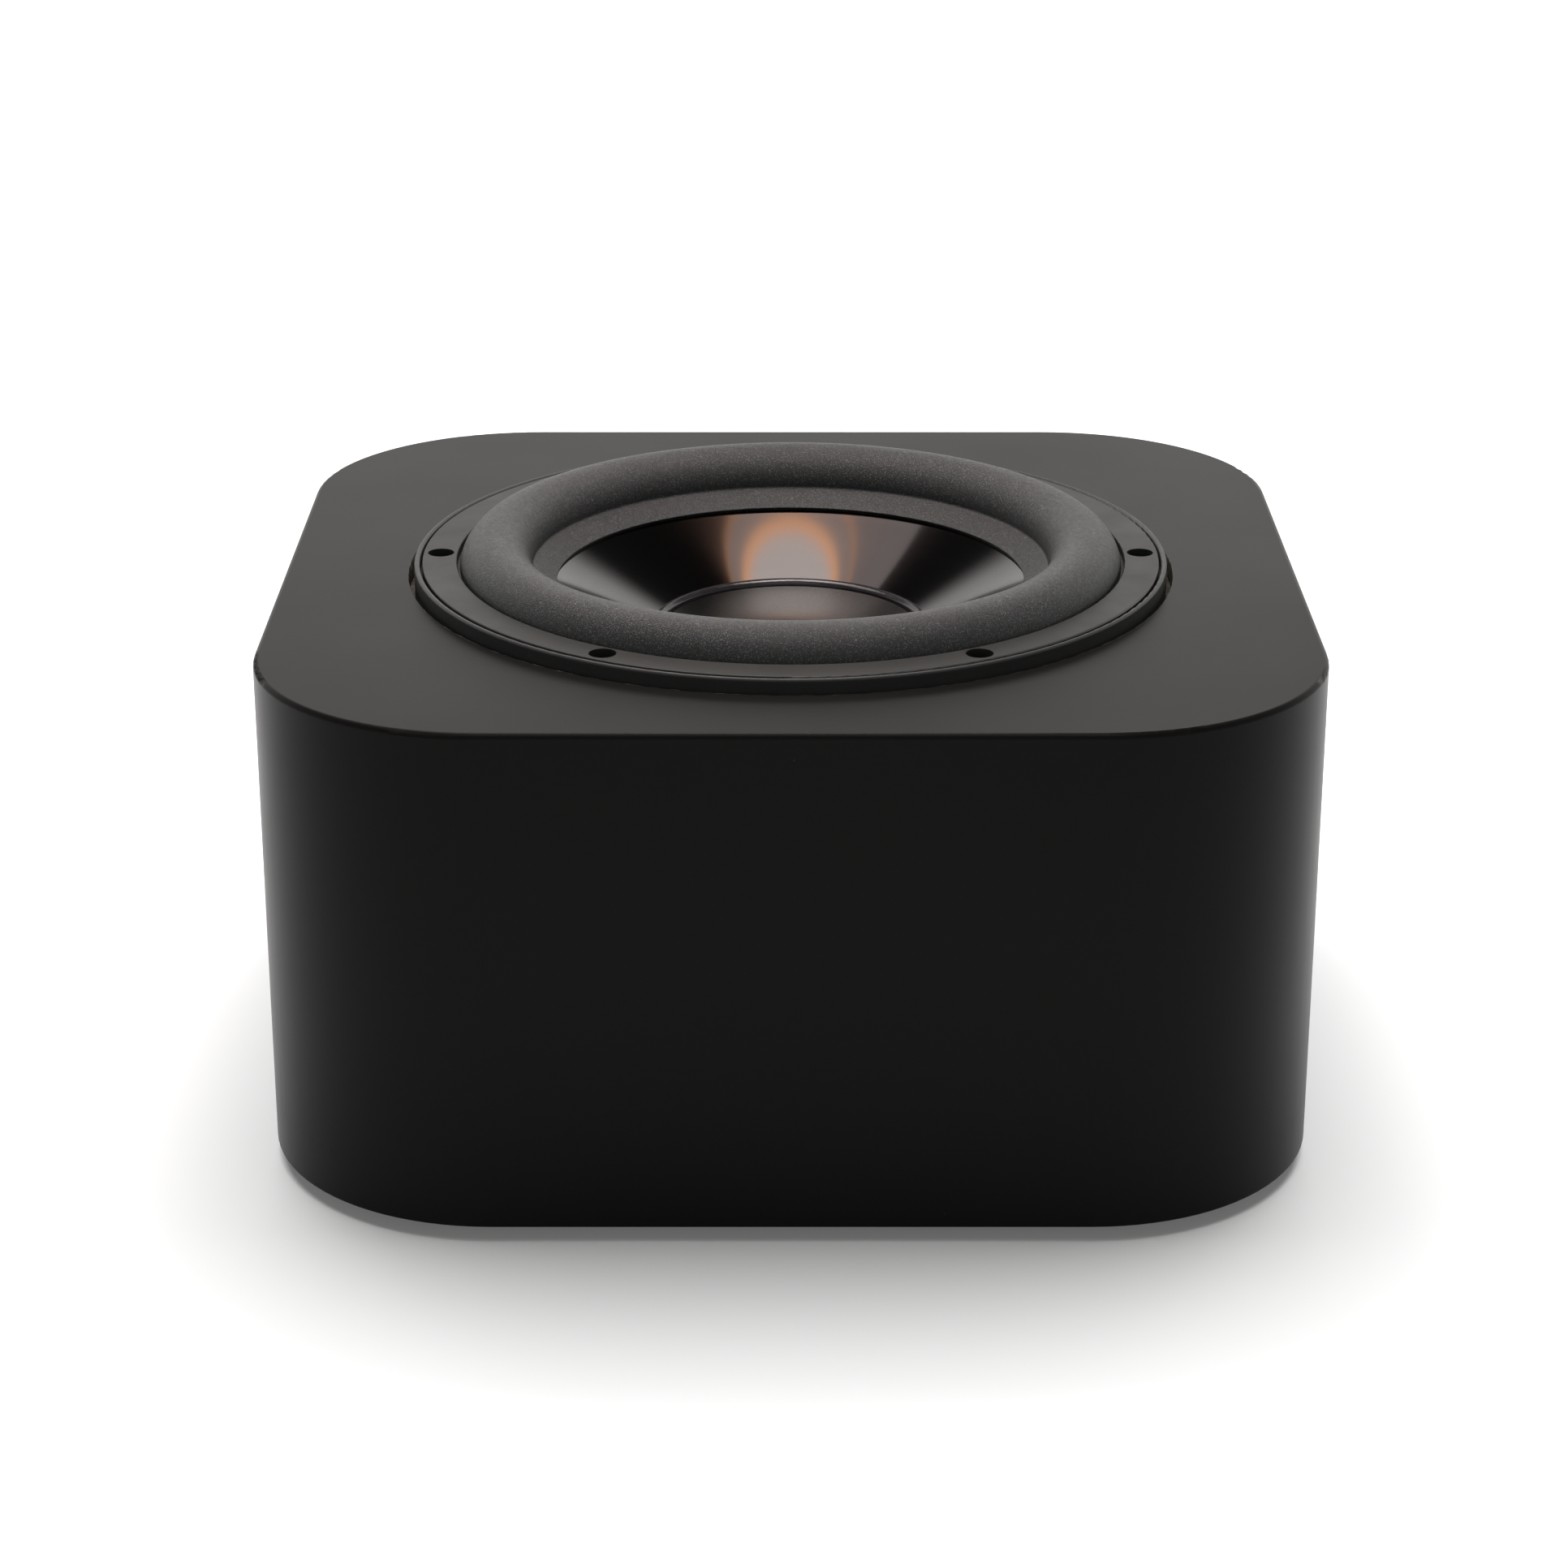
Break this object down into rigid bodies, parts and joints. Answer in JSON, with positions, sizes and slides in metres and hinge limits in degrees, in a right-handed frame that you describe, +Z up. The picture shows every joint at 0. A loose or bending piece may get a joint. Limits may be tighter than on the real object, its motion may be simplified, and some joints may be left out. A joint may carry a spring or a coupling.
{
  "type": "subwoofer",
  "caption": "Active subwoofer: compact sealed cabinet with large rounded corners, an upward-firing long-throw driver with a bronze cone, and a recessed rear amplifier plate.",
  "frame": {"origin": "on the floor under the middle of the cabinet, on the driver's axis", "axes": "+Z up along the driver's axis, -Y towards the front, +Y towards the amplifier plate, +X across the width"},
  "size_m": [0.355, 0.34, 0.1922],
  "materials": {
    "satin_lacquer": "satin dark warm-grey lacquer over MDF, slightly rounded edges",
    "raw_board": "unpainted MDF and plywood inside the cabinet",
    "felt": "grey recycled felt",
    "foot_rubber": "black rubber, matt",
    "zinc_steel": "zinc-plated steel",
    "black_steel": "black oxide steel",
    "brass": "turned brass",
    "foam_gasket": "closed-cell foam",
    "basket_paint": "die-cast aluminium with black powder coat",
    "clamp_plastic": "black, finely textured",
    "surround_rubber": "black butyl rubber with a fine grain",
    "bronze_metal": "spun aluminium, bronze anodised, semi-gloss",
    "gloss_black": "glossy black bead of adhesive and trim",
    "dark_metal": "dark satin aluminium",
    "coil_former_film": "glass-fibre and resin tube",
    "copper_wire": "enamelled copper winding",
    "spider_cloth": "resin-treated corrugated cloth",
    "steel_plate": "black-passivated low-carbon steel",
    "ferrite": "sintered ferrite",
    "bare_aluminium": "machined aluminium",
    "boot_rubber": "moulded rubber boot",
    "terminal_plastic": "black glass-filled nylon",
    "tinsel_braid": "braided tinsel wire",
    "wire_sleeve": "PVC sleeve",
    "plate_coating": "black powder-coated aluminium panel",
    "housing_steel": "galvanised sheet steel",
    "board_green": "glass-epoxy board with green mask",
    "brass_standoff": "turned brass",
    "transformer_tape": "yellow tape over a copper winding",
    "capacitor_sleeve": "shrink sleeve on aluminium cans",
    "pot_steel": "nickel-plated steel",
    "knob_plastic": "black, lightly ribbed",
    "switch_case": "tinned steel case",
    "slider_plastic": "black nylon",
    "rocker_plastic": "black polyamide",
    "inlet_plastic": "black thermoplastic",
    "nickel_pins": "nickel-plated brass",
    "fuse_glass": "glass tube with metal caps",
    "gold_shell": "gold-plated brass",
    "core_plastic": "white insulator with a plated contact",
    "ring_white": "white",
    "ring_red": "red",
    "led_lens": "clear green lens"
  },
  "bodies": {
    "cabinet": {"cabinet_wall": "satin_lacquer", "top_baffle": "satin_lacquer", "bottom_panel": "satin_lacquer", "ring_brace": "raw_board", "amp_frame": "raw_board", "damping_lining": "felt", "feet": "foot_rubber", "foot_screws": "zinc_steel", "motor_screws": "zinc_steel", "terminal_tabs": "zinc_steel", "driver_screws": "black_steel", "amp_screws": "black_steel", "threaded_inserts": "brass", "driver_gasket": "foam_gasket", "amp_gasket": "foam_gasket", "basket": "basket_paint", "clamp_ring": "clamp_plastic", "surround": "surround_rubber", "spider": "spider_cloth", "top_plate": "steel_plate", "yoke": "steel_plate", "magnets": "ferrite", "shorting_ring": "bare_aluminium", "heatsink": "bare_aluminium", "magnet_boot": "boot_rubber", "terminal_block": "terminal_plastic", "tinsel_leads": "tinsel_braid", "speaker_wires": "wire_sleeve", "amp_plate": "plate_coating", "amp_housing": "housing_steel", "circuit_board": "board_green", "board_standoffs": "brass_standoff", "transformer": "transformer_tape", "capacitors": "capacitor_sleeve", "level_pot": "pot_steel", "crossover_pot": "pot_steel", "phase_switch": "switch_case", "mode_switch": "switch_case", "rocker_frame": "rocker_plastic", "mains_inlet": "inlet_plastic", "mains_pins": "nickel_pins", "phono_shells": "gold_shell", "phono_cores": "core_plastic", "phono_ring_white": "ring_white", "phono_ring_red": "ring_red", "status_led": "led_lens"},
    "cone_assembly": {"cone": "bronze_metal", "neck_ring": "gloss_black", "dust_cap": "dark_metal", "coil_former": "coil_former_film", "voice_coil": "copper_wire"},
    "level_control": {"level_knob": "knob_plastic", "level_shaft": "pot_steel"},
    "crossover_control": {"crossover_knob": "knob_plastic", "crossover_shaft": "pot_steel"},
    "phase_button": {"phase_slider": "slider_plastic"},
    "mode_button": {"mode_slider": "slider_plastic"},
    "power_button": {"power_rocker": "rocker_plastic"},
    "fuse_carrier": {"fuse_drawer": "inlet_plastic", "fuse": "fuse_glass"}
  },
  "joints": [
    {"name": "cone_travel", "type": "slide", "parent": "cabinet", "child": "cone_assembly", "axis": [0, 0, 1], "range_m": [-0.012, 0.012], "stiffness_N_per_m": 2400, "deforming": ["surround", "spider", "tinsel_leads"]},
    {"name": "level_turn", "type": "hinge", "parent": "cabinet", "child": "level_control", "pos_m": [0.006, 0.1615, 0.104], "axis": [0, 1, 0], "range_deg": [-150, 150]},
    {"name": "crossover_turn", "type": "hinge", "parent": "cabinet", "child": "crossover_control", "pos_m": [0.036, 0.1615, 0.104], "axis": [0, 1, 0], "range_deg": [-150, 150]},
    {"name": "phase_slide", "type": "slide", "parent": "cabinet", "child": "phase_button", "axis": [1, 0, 0], "range_m": [0, 0.004]},
    {"name": "mode_slide", "type": "slide", "parent": "cabinet", "child": "mode_button", "axis": [1, 0, 0], "range_m": [0, 0.006]},
    {"name": "power_rock", "type": "hinge", "parent": "cabinet", "child": "power_button", "pos_m": [-0.048, 0.1565, 0.109], "axis": [1, 0, 0], "range_deg": [-16, 0]},
    {"name": "fuse_pull", "type": "slide", "parent": "cabinet", "child": "fuse_carrier", "axis": [0, 1, 0], "range_m": [0, 0.012]}
  ]
}
